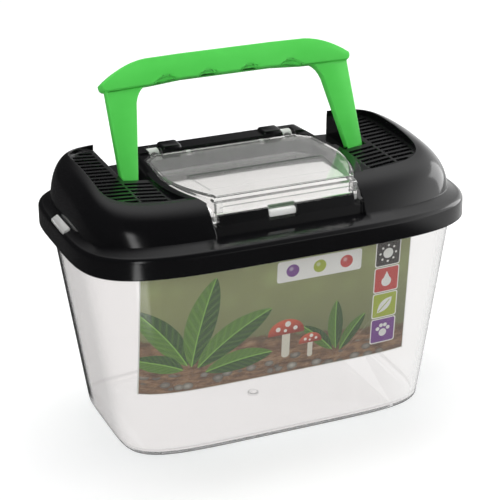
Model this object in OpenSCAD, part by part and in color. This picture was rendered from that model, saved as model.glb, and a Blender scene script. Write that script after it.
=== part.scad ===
// Small plastic pet keeper: a clear tub with a card in its front wall, a vented
// lid that presses on, a hinged feeding hatch and a folding carrying handle.
// The origin is the centre of the tub's underside. +Z is up, the card faces -Y.

/* [Tub] */
// Length of the floor outside
floor_l = 159; // [150:0.5:168]
// Depth of the floor outside
floor_w = 89.2; // [84:0.2:96]
// Length outside, just under the rim
mouth_l = 191.8; // [184:0.2:200]
// Depth outside, just under the rim
mouth_w = 109.4; // [106:0.2:116]
// Height of the rim
tub_h = 108; // [90:1:130]
// Wall thickness
tub_wall = 2; // [1.2:0.1:3]
// Floor thickness
floor_t = 2.2; // [1.5:0.1:4]
// Radius of the floor's outer edge
foot_r = 3; // [2.5:0.5:8]
// Squareness of the floor's corners, where 2 is an ellipse
floor_n = 5.5; // [4:0.1:7]
// Squareness of the mouth's corners
mouth_n = 4.4; // [4:0.1:6]
// How far the rim flange stands out
flange_out = 1.4; // [1:0.1:2]
// Thickness of the rim flange
flange_t = 2; // [1.5:0.1:3]
// Width of the lug on each end of the rim
lug_w = 19; // [12:0.5:26]
// Thickness of a lug
lug_t = 3.4; // [2:0.1:3.6]
// Diameter of the moulding mark inside the floor
gate_d = 5; // [3:0.5:10]
// Height of the moulding mark
gate_h = 0.3; // [0.2:0.1:1]

/* [Label card] */
// Length of the card, across its face
card_l = 137; // [90:1:140]
// How far the card's middle lies to the right of the tub's
card_x = -6.5; // [-8:0.5:8]
// Height of the card
card_h = 66; // [40:1:68]
// How far the card's top edge lies below the rim
card_drop = 7; // [7:1:18]
// Thickness of the card
card_t = 0.5; // [0.3:0.1:0.8]

/* [Lid] */
// Wall thickness
lid_wall = 2; // [1.4:0.1:2.2]
// How far the skirt reaches down past the rim
skirt_drop = 8.5; // [5:0.5:14]
// Radius of the skirt's top edge
skirt_r = 2.4; // [2.2:0.1:4]
// Rise of the ledge from the skirt to the dome
ledge_rise = 1.6; // [1:0.1:3]
// Width of the ledge at the ends
ledge_end = 5.2; // [4.8:0.1:6]
// Width of the ledge in front
ledge_front = 9.5; // [7:0.5:12]
// Width of the ledge behind
ledge_rear = 6.7; // [5:0.1:9]
// Height of the towers above the ledge, at their highest
tower_h = 20.4; // [18:0.2:24]
// How much lower the towers are in front
tower_fall = 6.4; // [4:0.2:7]
// Width of the rounded tower rim at the ends
rim_end = 12.2; // [9:0.2:14]
// Width of the rounded shoulder in front
rim_front = 19; // [15:0.5:21]
// Thickness of the tower rim behind
rim_rear = 1.5; // [1.2:0.1:3]
// Depth of the vented decks below the highest rim, at the outer end
deck_drop = 4.9; // [4:0.1:6]
// Pitch of the deck's air slots
slot_pitch = 4.5; // [4:0.1:8]
// Width of an air slot
slot_w = 2.2; // [1:0.1:3]
// Air slots behind and in front of the ridge's middle
slots_n = 17; // [8:1:17]

/* [Hatch] */
// Widest width of the hatch
hatch_w = 93.4; // [88:0.2:95]
// Width of the hatch's front lip
nose_w = 73.2; // [64:0.2:76]
// Width of the hatch's straight rear edge
tail_w = 76; // [74:0.5:82]
// Length of the hatch from its rear edge to its lip
hatch_l = 75.2; // [70:0.2:78]
// Wall thickness
hatch_wall = 1.8; // [1.2:0.1:2.2]
// Rise of the hatch's front above its rear
hatch_rise = 3.2; // [1:0.1:5]
// Width of the bevel along the hatch's sides, at the front
bevel_w = 3; // [1:0.1:5]
// Height of the front lip
lip_h = 8.3; // [7:0.1:9]
// Width of the catch on the lip
catch_w = 13.7; // [8:0.1:18]
// Height of the catch
catch_h = 3.5; // [2:0.1:4]
// How far the catch lies to the right of the middle
catch_x = -2.5; // [-6:0.5:6]
// Radius of a hinge knuckle
knuckle_r = 3.9; // [3.6:0.1:4.2]
// Width of a hinge knuckle
knuckle_w = 6; // [3:0.1:7]
// Radius of the hinge pins
hinge_pin_r = 2; // [1.5:0.1:2.4]

/* [Handle] */
// Width over the legs
handle_w = 127.8; // [124:0.2:128]
// Width of a leg at its foot
foot_w = 8.4; // [7:0.1:9]
// Width of a leg under the grip
leg_w = 15.2; // [10:0.1:16]
// Thickness of the legs
leg_t = 5; // [4:0.1:5.4]
// Distance from the pivot to the grip's lower edge
reach = 50; // [49.5:0.5:60]
// Height of the grip's front face
grip_h = 12; // [10:0.5:16]
// Thickness of the grip
grip_t = 8.6; // [6:0.2:12]
// How much the grip overhangs each leg, sideways
grip_over = 1.6; // [0:0.1:2.5]
// Spacing of the finger recesses
finger_pitch = 21.8; // [20:0.2:24]
// Number of finger recesses
fingers = 4; // [2:1:4]
// Radius of the pivot pegs
peg_r = 2.4; // [1.8:0.1:2.4]
// How far the handle leans back, as it is stored
lean = 26.3; // [0:0.1:60]

/* [Clearances] */
// Gap between the rim and the lid that rests on it
seat_gap = 0.3; // [0.2:0.05:0.5]
// Gap between the rim flange and the skirt round it
skirt_gap = 0.8; // [0.5:0.1:1.5]
// Gap round the lugs in their windows
lug_gap = 0.4; // [0.3:0.05:0.6]
// Gap round the hatch in the lid
hatch_gap = 0.5; // [0.4:0.05:0.8]
// Gap between the handle's legs and what they pass
leg_gap = 0.4; // [0.3:0.05:0.6]
// Running clearance of pins in their holes, on the radius
pin_gap = 0.05; // [0.02:0.01:0.1]
// Gap between the card and the wall behind which it stands
card_gap = 0.3; // [0.1:0.05:0.5]

/* [Hidden] */
$fn = 48;
// Points round each level of the tub and the lid
round_n = 96;
// A cut is drawn this much past the face that it starts from
over = 1;
// Cuts from above reach this height over the ledge
sky = 40;

// Lid levels and outlines
lid_seat = tub_h + seat_gap;
ledge_z = lid_seat + lid_wall;
dome_z = ledge_z + ledge_rise;
skirt_z = tub_h - skirt_drop;
sky_z = dome_z + sky;
skirt_x = mouth_l / 2 + flange_out + skirt_gap + lid_wall;
skirt_y = mouth_w / 2 + flange_out + skirt_gap + lid_wall;
dome_x = skirt_x - ledge_end;
dome_front = skirt_y - ledge_front;
dome_rear = skirt_y - ledge_rear;
// Plan position of the towers' highest point
crown_y = 15;
crown_z = dome_z + tower_h;
// How much lower the towers are behind than at their highest
tower_rear_fall = 2.9;
// The tower rim's inner edge: half-length, front and rear lines, middle, squareness
rim_x = dome_x - rim_end;
rim_front_y = -(dome_front - rim_front);
rim_rear_y = dome_rear - rim_rear;
rim_mid_y = 8;
rim_n = 6;
// Width of the flat along the rim's inner edge
rim_flat = 0.6;
// The lugs stand in the skirt, with this much of it outside them, and end this far over the ledge
lug_x = skirt_x - 1.1 - lug_t / 2;
lug_z = ledge_z + 2;

// The frame round the hatch: its height over the dome's foot, and the well's depth below it
frame_up = 14;
well_deep = 11.4;
frame_z = dome_z + frame_up;
frame_w = 4.2;
frame_x = hatch_w / 2 + frame_w;
frame_wall = frame_w - hatch_gap - 0.3;
well_z = frame_z - well_deep;
// Where the frame turns to run straight back beside the rear bar
shoulder_out = 8.2;
shoulder_x = tail_w / 2 + shoulder_out;
shoulder_y = dome_rear - 4;
// The recess in front, between the shoulders
recess_x = nose_w / 2 + hatch_gap + 0.9;
sill_z = frame_z - 5.8;
sill_lean = 3.2;
// Floor of the recess, and the little step at the sill's foot
recess_z = dome_z - 0.5;
step_z = dome_z + 4;

// The hinge line of the hatch, and its rear and front edges
hinge_y = 40.6;
hinge_z = frame_z - 3.5;
tail_y = hinge_y - 7.4;
nose_y = tail_y - hatch_l;
tail_z = hinge_z + 3.2;
tail_h = 3.4;
nose_z = tail_z + hatch_rise;
knuckle_x = tail_w / 2 - 1.8;
// Half-height of the arm from the plate to a knuckle
arm_t = 1;
block_w = 10.6;
block_x = knuckle_x - knuckle_w / 2 - hatch_gap - block_w / 2;
block_r = 2.5;
// The pins start inside the knuckles and reach this far, short of their holes' ends
pin_in = 0.5;
pin_l = block_w - 1.6;
// Underside of the catch and of the tabs at the corners of the lip
catch_z = sill_z - 1 - catch_h;
tab_z = well_z + 2.5;
tab_t = 1.6;
bar_z = frame_z + 0.8;
// The frame and the bar keep inside the circle that the hatch's rear edge swings on
swing_r = hinge_y - tail_y - 0.3;
bar_front = hinge_y - sqrt(pow(swing_r, 2) - pow(bar_z - hinge_z, 2)) + 0.2;
bar_rear = hinge_y + 4.2;
rear_gap = hinge_y - tail_y - sqrt(pow(swing_r, 2) - pow(frame_z - hinge_z, 2)) + 0.1;

// The handle's pivot line and the channels that its legs fold into
pivot_y = 6.5;
leg_x = handle_w / 2;
foot_x = leg_x - foot_w;
channel_x = leg_x + leg_gap;
channel_y = pivot_y - leg_t / 2 - leg_gap;
channel_z = dome_z + 4.6;
pivot_z = channel_z + leg_gap + leg_t / 2;
peg_in = 2.2;
grip_proud = 1.2;
// Ball that cuts a finger recess, and how deep it cuts
finger_r = 6.2;
finger_d = 1.6;

// A signed power, for the squared ovals
function pw(v, p) = sign(v) * pow(abs(v), p);
// A squared oval: half-length a, depth bf in front and br behind its middle cy
function oval_x(t, a, n) = a * pw(cos(t), 2 / n);
function oval_y(t, bf, br, cy, n) = cy + (sin(t) < 0 ? bf : br) * pw(sin(t), 2 / n);
function ring(a, bf, br, cy, n, z) =
    [for (i = [0:round_n - 1]) let (t = 360 * i / round_n)
        [oval_x(t, a, n), oval_y(t, bf, br, cy, n), z]];
function mix(a, b, f) = a + (b - a) * f;
// Bezier curves, quadratic and cubic
function bez2(a, b, c, t) = a * pow(1 - t, 2) + b * 2 * t * (1 - t) + c * t * t;
function bez3(a, b, c, d, t) =
    a * pow(1 - t, 3) + b * 3 * t * pow(1 - t, 2) + c * 3 * t * t * (1 - t) + d * pow(t, 3);
// Points along an arc from angle a to angle b
function arc(x, y, r, a, b, n) =
    [for (i = [0:n]) [x + r * cos(mix(a, b, i / n)), y + r * sin(mix(a, b, i / n))]];
// A half outline and its mirror image, as one closed outline
function both(half) =
    concat(half, [for (i = [len(half) - 1:-1:0]) [-half[i].x, half[i].y]]);

// A closed skin through rings of as many points each, lowest first
module loft(rings) {
    m = len(rings);
    k = len(rings[0]);
    polyhedron(
        points = [for (r = rings) each r],
        faces = concat(
            [[for (i = [0:k - 1]) i]],
            [for (j = [0:m - 2]) for (i = [0:k - 1]) let (n = (i + 1) % k)
                each [[j * k + i, (j + 1) * k + i, (j + 1) * k + n],
                      [j * k + i, (j + 1) * k + n, j * k + n]]],
            [[for (i = [k - 1:-1:0]) (m - 1) * k + i]]
        ),
        convexity = 10
    );
}

// An outline in the YZ plane, drawn out along X to both sides of the middle
module across(width) {
    rotate([90, 0, 90])
        linear_extrude(width, center = true)
            children();
}

// Half-sizes and squareness of the tub's outside at a height
function tub_x(z) = mix(floor_l, mouth_l, z / tub_h) / 2;
function tub_y(z) = mix(floor_w, mouth_w, z / tub_h) / 2;
function tub_n(z) = mix(floor_n, mouth_n, z / tub_h);
function tub_ring(z, inset) =
    ring(tub_x(z) - inset, tub_y(z) - inset, tub_y(z) - inset, 0, tub_n(z), z);

// The rounded edge round a floor: rings from its flat underside to the wall
function edge_rings(z, r, inset) =
    [for (i = [0:4]) let (a = 90 * i / 4) tub_ring(z + r * (1 - cos(a)), inset + r * (1 - sin(a)))];

wall_steps = 4;
flange_z = tub_h - flange_t;
function wall_rings(z0, z1, inset) =
    [for (i = [1:wall_steps]) tub_ring(mix(z0, z1, i / wall_steps), inset)];

module tub() {
    color("gainsboro", 0.4) {
        difference() {
            loft(concat(
                edge_rings(0, foot_r, 0),
                wall_rings(foot_r, flange_z, 0),
                [tub_ring(flange_z, -flange_out), tub_ring(tub_h, -flange_out)]
            ));
            loft(concat(
                edge_rings(floor_t, foot_r - tub_wall, tub_wall),
                wall_rings(foot_r, tub_h + over, tub_wall)
            ));
        }
        translate([0, 0, floor_t - 0.1])
            cylinder(h = gate_h + 0.1, d = gate_d);
        for (side = [-1, 1])
            translate([side * lug_x, 0, flange_z])
                rotate([90, 0, 0])
                    linear_extrude(lug_w, center = true)
                        polygon([
                            [-side * lug_t / 2, 0.5],
                            [side * (lug_t / 2 - 1.7), 0.5],
                            [side * lug_t / 2, 2.6],
                            [side * lug_t / 2, lug_z - flange_z - 1.5],
                            [-side * lug_t / 2, lug_z - flange_z - 0.2]
                        ]);
    }
}

// The card follows the inside of the front wall
module label_card() {
    card_z = tub_h - card_drop - card_h;
    columns = 28;
    rows = 4;
    function wall_y(x, z, depth) =
        let (a = tub_x(z) - tub_wall - depth, b = tub_y(z) - tub_wall - depth, n = tub_n(z))
            -b * pow(1 - pow(abs(x) / a, n), 1 / n);
    function sheet(depth) =
        [for (j = [0:rows]) for (i = [0:columns])
            let (x = card_x + card_l * (i / columns - 0.5), z = card_z + card_h * j / rows)
                [x, wall_y(x, z, depth), z]];
    w = columns + 1;
    back = w * (rows + 1);
    function quad(a, b, c, d) = [[a, b, c], [a, c, d]];
    color("darkolivegreen")
        polyhedron(
            points = concat(sheet(card_gap), sheet(card_gap + card_t)),
            faces = concat(
                [for (j = [0:rows - 1]) for (i = [0:columns - 1]) let (p = j * w + i)
                    each quad(p, p + w, p + w + 1, p + 1)],
                [for (j = [0:rows - 1]) for (i = [0:columns - 1]) let (p = back + j * w + i)
                    each quad(p, p + 1, p + w + 1, p + w)],
                [for (i = [0:columns - 1]) each quad(i, i + 1, back + i + 1, back + i)],
                [for (i = [0:columns - 1]) let (p = rows * w + i)
                    each quad(p, back + p, back + p + 1, p + 1)],
                [for (j = [0:rows - 1]) let (p = j * w)
                    each quad(p, back + p, back + p + w, p + w)],
                [for (j = [0:rows - 1]) let (p = j * w + columns)
                    each quad(p, p + w, back + p + w, back + p)]
            )
        );
}

// Height of the tower rim over the ledge's level, along the lid's depth
function rim_z(y) =
    crown_z - (y < crown_y
        ? tower_fall * pow((y - crown_y) / (rim_front_y - crown_y), 2)
        : tower_rear_fall * pow((y - crown_y) / (rim_rear_y - crown_y), 2));

// One point of the dome: from the ledge (s = 0) to the tower rim (s = 1)
function dome_pt(t, s, inset) =
    let (
        bx = oval_x(t, dome_x - inset, mouth_n),
        by = oval_y(t, dome_front - inset, dome_rear - inset, 0, mouth_n),
        rx = oval_x(t, rim_x - inset / 2, rim_n),
        ry = oval_y(t, rim_mid_y - rim_front_y - inset / 2, rim_rear_y - rim_mid_y - inset,
                    rim_mid_y, rim_n),
        front = pow(max(0, -sin(t)), 2),
        across_f = bez3(0, mix(0.04, 0.26, front), mix(0.42, 0.6, front), 1, s),
        up_f = bez3(0, mix(0.62, 0.64, front), 0.94, 1, s),
        top = rim_z(oval_y(t, rim_mid_y - rim_front_y, rim_rear_y - rim_mid_y, rim_mid_y, rim_n))
    )
    [mix(bx, rx, across_f), mix(by, ry, across_f), mix(dome_z - inset, top - inset, up_f)];
dome_steps = 8;
function dome_rings(inset) =
    [for (j = [0:dome_steps])
        [for (i = [0:round_n - 1]) dome_pt(360 * i / round_n, j / dome_steps, inset)]];
// Plan outline of the tower rim's inner edge, drawn in by a distance
function rim_ring(inset, z) =
    ring(rim_x - inset, rim_mid_y - rim_front_y - inset, rim_rear_y - rim_mid_y - inset,
         rim_mid_y, rim_n, z);
// The flat along the rim, and the cover over the towers that the decks are cut from
function cap_rings(inset) = [
    [for (p = rim_ring(inset + 2 * rim_flat, 0)) [p.x, p.y, rim_z(p.y) - inset]],
    rim_ring(inset + 3 * rim_flat, crown_z + 1)
];

// The lid's outside before anything is cut into it
module lid_outside() {
    edge_steps = 4;
    loft(concat(
        [ring(skirt_x, skirt_y, skirt_y, 0, mouth_n, skirt_z)],
        [for (i = [0:edge_steps]) let (a = 90 * i / edge_steps, in = skirt_r * (1 - cos(a)))
            ring(skirt_x - in, skirt_y - in, skirt_y - in, 0, mouth_n,
                 ledge_z - skirt_r * (1 - sin(a)))],
        dome_rings(0),
        cap_rings(0)
    ));
}

// The space inside the lid before its decks, walls and frame are taken from it
module lid_inside() {
    x = skirt_x - lid_wall;
    y = skirt_y - lid_wall;
    loft(concat(
        [ring(x, y, y, 0, mouth_n, skirt_z - over), ring(x, y, y, 0, mouth_n, lid_seat)],
        dome_rings(lid_wall),
        cap_rings(lid_wall)
    ));
}

// Plan outline of the hatch, grown by m: cut corner behind, then a long curve to the front
bow_y = 0;
corner_in = 2.2;
corner_l = 7.4;
side_in = 0.5;
side_y = -21;
curve_end = -37;
function hatch_half(m, rear, front_y) = concat(
    [[tail_w / 2 + m * 0.4, tail_y + rear],
     [hatch_w / 2 - corner_in + m, tail_y - corner_l + rear - m * 0.6]],
    [for (i = [0:6]) bez2([hatch_w / 2 + m, bow_y], [hatch_w / 2 - side_in + m, side_y - m * 0.5],
                          [nose_w / 2 + m, curve_end], i / 6)],
    [[nose_w / 2 + m, front_y]]
);
function hatch_outline(m, rear, front_y) = both(hatch_half(m, rear, front_y));

// The hatch's block: upright to the frame's top, then drawn in to its plate. m shrinks it.
module hatch_block(m) {
    function level(in, z) =
        let (line = hatch_outline(-m - in, -m - in, nose_y + m))
            [for (i = [len(line) - 1:-1:0]) [line[i].x, line[i].y, z]];
    loft([level(0, well_z), level(0, frame_z + 0.4), level(bevel_w, nose_z + over)]);
}

// Plan outline of the frame round the hatch, as far back as the lid's rear
function frame_outline(m) = both(concat(
    [[shoulder_x + m, 2 * dome_rear], [shoulder_x + m, shoulder_y],
     [frame_x + m, bow_y + 5]],
    [for (i = [0:6]) bez2([frame_x + m, bow_y],
                          [frame_x - side_in + m, side_y - frame_w * 0.5],
                          [nose_w / 2 + frame_w + m, curve_end + 1], i / 6)],
    [[recess_x + m, curve_end - 1], [recess_x + m, -2 * dome_front]]
));

// What is cut away above the decks. m grows the cut, so that its walls are left that thick.
ridge_x = 66.2;
module deck_cut(m) {
    // deck heights at its inner edge, its ridge and its outer edge
    outer_z = crown_z - deck_drop;
    ridge_z = outer_z - 1.1;
    inner_z = frame_z - 1.3;
    intersection() {
        translate([0, 0, dome_z])
            linear_extrude(sky)
                difference() {
                    polygon([for (p = rim_ring(rim_flat - m, 0)) [p.x, p.y]]);
                    polygon(frame_outline(-m));
                }
        // the two facets, tipped a little forward
        translate([0, 0, -m])
            rotate([0.8, 0, 0])
                rotate([90, 0, 0])
                    linear_extrude(4 * skirt_y, center = true)
                        polygon(both([
                            [dome_x, sky_z], [dome_x, outer_z + 1.1], [rim_x - 2, outer_z],
                            [ridge_x, ridge_z], [frame_x - m, inner_z], [0, inner_z - 5]
                        ]));
    }
}

// The channels behind the handle's feet, open to the rear
module channel_cut(m) {
    for (side = [-1, 1])
        translate([0, 0, channel_z - m])
            linear_extrude(sky)
                polygon([
                    [side * (channel_x + m), channel_y - m],
                    [side * (channel_x + m), 2 * dome_rear],
                    [side * (shoulder_x - m), 2 * dome_rear],
                    [side * (shoulder_x - m), shoulder_y],
                    [side * (frame_x - m), bow_y + 5],
                    [side * (frame_x - m), channel_y - m]
                ]);
}

// What is cut away above the frame, and behind the rear bar
module frame_cut(m) {
    intersection() {
        linear_extrude(sky_z)
            polygon(frame_outline(m + over));
        across(2 * skirt_x)
            polygon([
                [-2 * dome_front, frame_z - m], [bar_front, frame_z - m], [bar_front, bar_z - m],
                [bar_rear, bar_z - m], [dome_rear - 1 - m, channel_z - m], [2 * dome_rear, channel_z - m],
                [2 * dome_rear, sky_z], [-2 * dome_front, sky_z]
            ]);
    }
}

// The recess in front of the frame, with its sill leaning back
sill_y = nose_y - 1;
module recess_cut(m) {
    across(2 * (recess_x + m))
        polygon([
            [-2 * dome_front, recess_z - m], [sill_y - sill_lean + m, recess_z - m],
            [sill_y - sill_lean + 1 + m, step_z - m], [sill_y - sill_lean + 1.8 + m, step_z - m],
            [sill_y + m, sill_z], [sill_y + m, sky_z], [-2 * dome_front, sky_z]
        ]);
}

// The hatch's well: all through the lid, and open in front above the sill
module well(m) {
    translate([0, 0, well_z])
        linear_extrude(sky)
            polygon(hatch_outline(hatch_gap + m, rear_gap + m, nose_y + hatch_wall + 0.6 - m));
}
front_cut = 12;
module well_front() {
    translate([-nose_w / 2 - hatch_gap, nose_y - 2, sill_z])
        cube([nose_w + 2 * hatch_gap, front_cut, sky]);
    // room for the two tabs that hang beside the sill
    room = tab_t + hatch_gap + recess_x + 0.2 - nose_w / 2;
    for (side = [-1, 1])
        translate([side * (recess_x + 0.2 - room / 2), nose_y, tab_z - 1.5 + sky / 2])
            cube([room, front_cut, sky], center = true);
    // the notch that the catch sits in
    translate([catch_x, nose_y, catch_z - hatch_gap + sky / 2])
        cube([catch_w + 2 * hatch_gap, 1.4 * front_cut, sky], center = true);
}

// Plan half-length of the tower rim's inner edge at a depth
function rim_half(y) =
    let (b = y < rim_mid_y ? rim_mid_y - rim_front_y : rim_rear_y - rim_mid_y)
        rim_x * pow(max(0, 1 - pow(abs(y - rim_mid_y) / b, rim_n)), 1 / rim_n);
module slots() {
    border = 2;
    top_y = rim_rear_y - 6;
    for (i = [0:slots_n - 1]) {
        y = top_y - i * slot_pitch;
        outer = min(rim_half(y), rim_half(y - slot_w)) - border;
        inner = frame_x + 1.5 + 4.5 * max(0, (y + 24) / 24);
        for (side = [-1, 1]) {
            if (outer > ridge_x + 4)
                translate([side > 0 ? ridge_x + 1 : -outer, y - slot_w, frame_z - 6])
                    cube([outer - ridge_x - 1, slot_w, 12]);
            if (y < channel_y - 1.5 && y - slot_w > rim_front_y + 1)
                translate([side > 0 ? inner : 1 - ridge_x, y - slot_w, frame_z - 6])
                    cube([ridge_x - 1 - inner, slot_w, 12]);
        }
    }
}

// Blocks on the rear bar that carry the hatch's pins
module hinge_block() {
    front = bar_front - 0.1;
    rear = bar_rear - 0.2;
    top = frame_z + 2.4 - block_r;
    foot = hinge_z - hinge_pin_r - 1.6;
    across(block_w)
        polygon(concat(
            [[front, foot], [rear, foot]],
            arc(rear - block_r, top, block_r, 0, 90, 5),
            arc(front + block_r, top, block_r, 90, 180, 5)
        ));
}

// Room in the rear bar for a knuckle and its arm, and the hole that its pin turns in
module knuckle_room() {
    width = knuckle_w + 2 * hatch_gap;
    rotate([0, 90, 0])
        cylinder(h = width, r = knuckle_r + hatch_gap, center = true);
    translate([0, tail_y - hinge_y, sky / 2 - hatch_gap - arm_t])
        cube([width, 2 * (hinge_y - tail_y), sky], center = true);
}
module pin_hole(side) {
    rotate([0, -side * 90, 0])
        cylinder(h = knuckle_w / 2 + hatch_gap + block_w - 1, r = hinge_pin_r + pin_gap);
}

module lid() {
    color("#161616") {
        difference() {
            lid_outside();
            difference() {
                lid_inside();
                deck_cut(lid_wall);
                channel_cut(lid_wall);
                frame_cut(lid_wall);
                recess_cut(lid_wall);
                well(frame_wall);
            }
            deck_cut(0);
            channel_cut(0);
            frame_cut(0);
            recess_cut(0);
            well(0);
            well_front();
            slots();
            // windows over the tub's lugs, with room for them inside the skirt
            for (side = [-1, 1])
                translate([side * lug_x, 0, (skirt_z + sky_z) / 2])
                    cube([lug_t + 2 * lug_gap, lug_w + 2 * lug_gap, sky_z - skirt_z + over],
                         center = true);
            // holes for the handle's pegs
            for (side = [-1, 1])
                translate([side * (frame_x - peg_in - 0.5), pivot_y, pivot_z])
                    rotate([0, side * 90, 0])
                        cylinder(h = peg_in + 0.8, r = peg_r + pin_gap);
            for (side = [-1, 1])
                translate([side * knuckle_x, hinge_y, hinge_z]) {
                    knuckle_room();
                    pin_hole(side);
                }
        }
        for (side = [-1, 1])
            difference() {
                translate([side * block_x, 0, 0])
                    hinge_block();
                translate([side * knuckle_x, hinge_y, hinge_z])
                    pin_hole(side);
            }
    }
}

// Side view of the hatch's plate and lip, lowered and drawn in by m
module hatch_side(m) {
    across(2 * hatch_w)
        polygon([
            [tail_y - m, tail_z - tail_h - (m > 0 ? over : 0)], [tail_y - m, tail_z - m],
            [nose_y + 1.4 + m, nose_z - m], [nose_y + m, nose_z - 1.4 - m],
            [nose_y + m, nose_z - lip_h - (m > 0 ? over : 0)],
            [nose_y + hatch_wall + m, nose_z - lip_h - (m > 0 ? over : 0)],
            [nose_y + 8, tail_z - tail_h - (m > 0 ? over : 0)]
        ]);
}

module hatch() {
    color("white", 0.4) {
        difference() {
            intersection() {
                hatch_block(0);
                hatch_side(0);
            }
            intersection() {
                hatch_block(hatch_wall);
                hatch_side(hatch_wall);
            }
        }
        // the tongue behind the sill, with the catch that shows in the notch
        back_y = nose_y + hatch_wall;
        tongue_z = tab_z - 1;
        translate([catch_x, 0, 0])
            across(catch_w)
                polygon([
                    [nose_y, nose_z - lip_h + 1], [back_y, nose_z - lip_h + 1],
                    [back_y + 2.6, tongue_z], [back_y + 1, tongue_z],
                    [back_y, catch_z], [nose_y - 2, catch_z],
                    [nose_y - 1.6, catch_z + catch_h], [nose_y, catch_z + catch_h]
                ]);
        for (side = [-1, 1]) {
            // a block on each corner of the lip, and a tab that hangs below it
            translate([side * (nose_w / 2 - 2.3), nose_y + 0.4, nose_z - lip_h + 3.4])
                cube([4.6, 2.4, 5], center = true);
            translate([side * (nose_w / 2 - tab_t / 2), nose_y + tab_t, (tab_z + nose_z - 3) / 2])
                cube([tab_t, 2 * tab_t, nose_z - 3 - tab_z], center = true);
            // knuckles, their arms and their pins
            translate([side * knuckle_x, 0, 0]) {
                translate([0, hinge_y, hinge_z])
                    rotate([0, 90, 0])
                        cylinder(h = knuckle_w, r = knuckle_r, center = true);
                translate([-knuckle_w / 2, tail_y - 1, hinge_z - arm_t])
                    cube([knuckle_w, hinge_y - tail_y, 2 * arm_t + 0.6]);
            }
            translate([side * (knuckle_x - knuckle_w / 2 + pin_in), hinge_y, hinge_z])
                rotate([0, -side * 90, 0])
                    cylinder(h = pin_l, r = hinge_pin_r);
        }
    }
}

// The handle, drawn standing on its pivot line in the XZ plane
module handle_face() {
    grip_x = leg_x + grip_over;
    end_r = 2.2;
    top = reach + grip_h;
    polygon(both(concat(
        [[0, top + 0.2], [24, top + 0.1]],
        [for (i = [0:7]) bez2([42, top - 0.2], [54, top - 1], [grip_x + 0.2, reach + 2], i / 7)],
        arc(grip_x - end_r, reach + 0.6, end_r, 0, -90, 4),
        [[leg_x - leg_w - 8, reach - 1.2], [24, reach], [0, reach]]
    )));
}

module handle() {
    color("limegreen")
        translate([0, pivot_y, pivot_z])
            rotate([-lean, 0, 0])
                difference() {
                    union() {
                        // grip
                        translate([0, -leg_t / 2 - grip_proud, 0])
                            rotate([90, 0, 0])
                                translate([0, 0, -grip_t])
                                    linear_extrude(grip_t)
                                        handle_face();
                        for (side = [-1, 1]) {
                            // leg, with its inner corner swept into the grip
                            rotate([90, 0, 0])
                                linear_extrude(leg_t, center = true)
                                    polygon(concat(
                                        [[side * leg_x, 0], [side * leg_x, reach + 1],
                                         [side * (leg_x - leg_w - 9), reach + 1]],
                                        [for (i = [0:6])
                                            let (p = bez2([leg_x - leg_w - 8, reach - 0.6],
                                                          [leg_x - leg_w - 1.5, reach - 1],
                                                          [leg_x - leg_w + 0.8, reach - 9], i / 6))
                                                [side * p.x, p.y]],
                                        [[side * foot_x, 5], [side * foot_x, 0]]
                                    ));
                            // rounded foot and its peg
                            translate([side * (leg_x - foot_w / 2), 0, 0])
                                rotate([0, 90, 0])
                                    cylinder(h = foot_w, d = leg_t, center = true);
                            translate([side * (foot_x + 0.5), 0, 0])
                                rotate([0, -side * 90, 0])
                                    cylinder(h = foot_x + 0.5 - (frame_x - peg_in),
                                             r = peg_r);
                        }
                    }
                    // finger recesses in the lower edge of the grip's front face
                    for (i = [0:fingers - 1])
                        translate([finger_pitch * (i - (fingers - 1) / 2),
                                   -leg_t / 2 - grip_proud - finger_r + finger_d, reach - 1.2])
                            sphere(r = finger_r);
                }
}

tub();
label_card();
lid();
hatch();
handle();
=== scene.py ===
"""Looks of a small plastic pet keeper, dressed around its CAD frame."""
import math
from types import SimpleNamespace

import bpy
from mathutils import Matrix, Vector


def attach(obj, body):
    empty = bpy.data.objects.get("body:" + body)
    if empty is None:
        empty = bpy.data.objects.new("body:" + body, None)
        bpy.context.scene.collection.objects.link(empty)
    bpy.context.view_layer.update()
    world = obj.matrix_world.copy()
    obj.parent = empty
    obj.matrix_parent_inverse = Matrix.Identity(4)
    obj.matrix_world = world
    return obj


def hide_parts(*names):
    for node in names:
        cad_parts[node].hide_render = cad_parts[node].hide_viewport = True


bl_info = {
    "name": "Pet keeper looks",
    "version": (1, 0, 0),
    "blender": (4, 5, 0),
    "location": "View3D > Sidebar > Pet keeper",
    "description": "Clear tub, vented lid, feeding hatch, handle and card with their materials",
    "category": "Object",
}

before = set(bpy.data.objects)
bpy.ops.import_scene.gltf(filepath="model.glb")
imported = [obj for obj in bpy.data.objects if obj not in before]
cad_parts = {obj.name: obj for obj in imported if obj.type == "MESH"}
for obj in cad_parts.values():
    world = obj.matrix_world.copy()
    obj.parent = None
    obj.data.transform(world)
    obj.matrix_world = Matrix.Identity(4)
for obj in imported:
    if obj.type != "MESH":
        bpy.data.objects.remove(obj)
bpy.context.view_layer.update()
MM = 0.001
WHITE = (1.0, 1.0, 1.0)


# ---- mesh helpers

def deselect():
    if bpy.context.object and bpy.context.object.mode != "OBJECT":
        bpy.ops.object.mode_set(mode="OBJECT")
    bpy.ops.object.select_all(action="DESELECT")


def pick(piece):
    deselect()
    piece.select_set(True)
    bpy.context.view_layer.objects.active = piece
    return piece


def put(name, data):
    """A new object in the scene."""
    thing = bpy.data.objects.new(name, data)
    bpy.context.scene.collection.objects.link(thing)
    return thing


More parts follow.
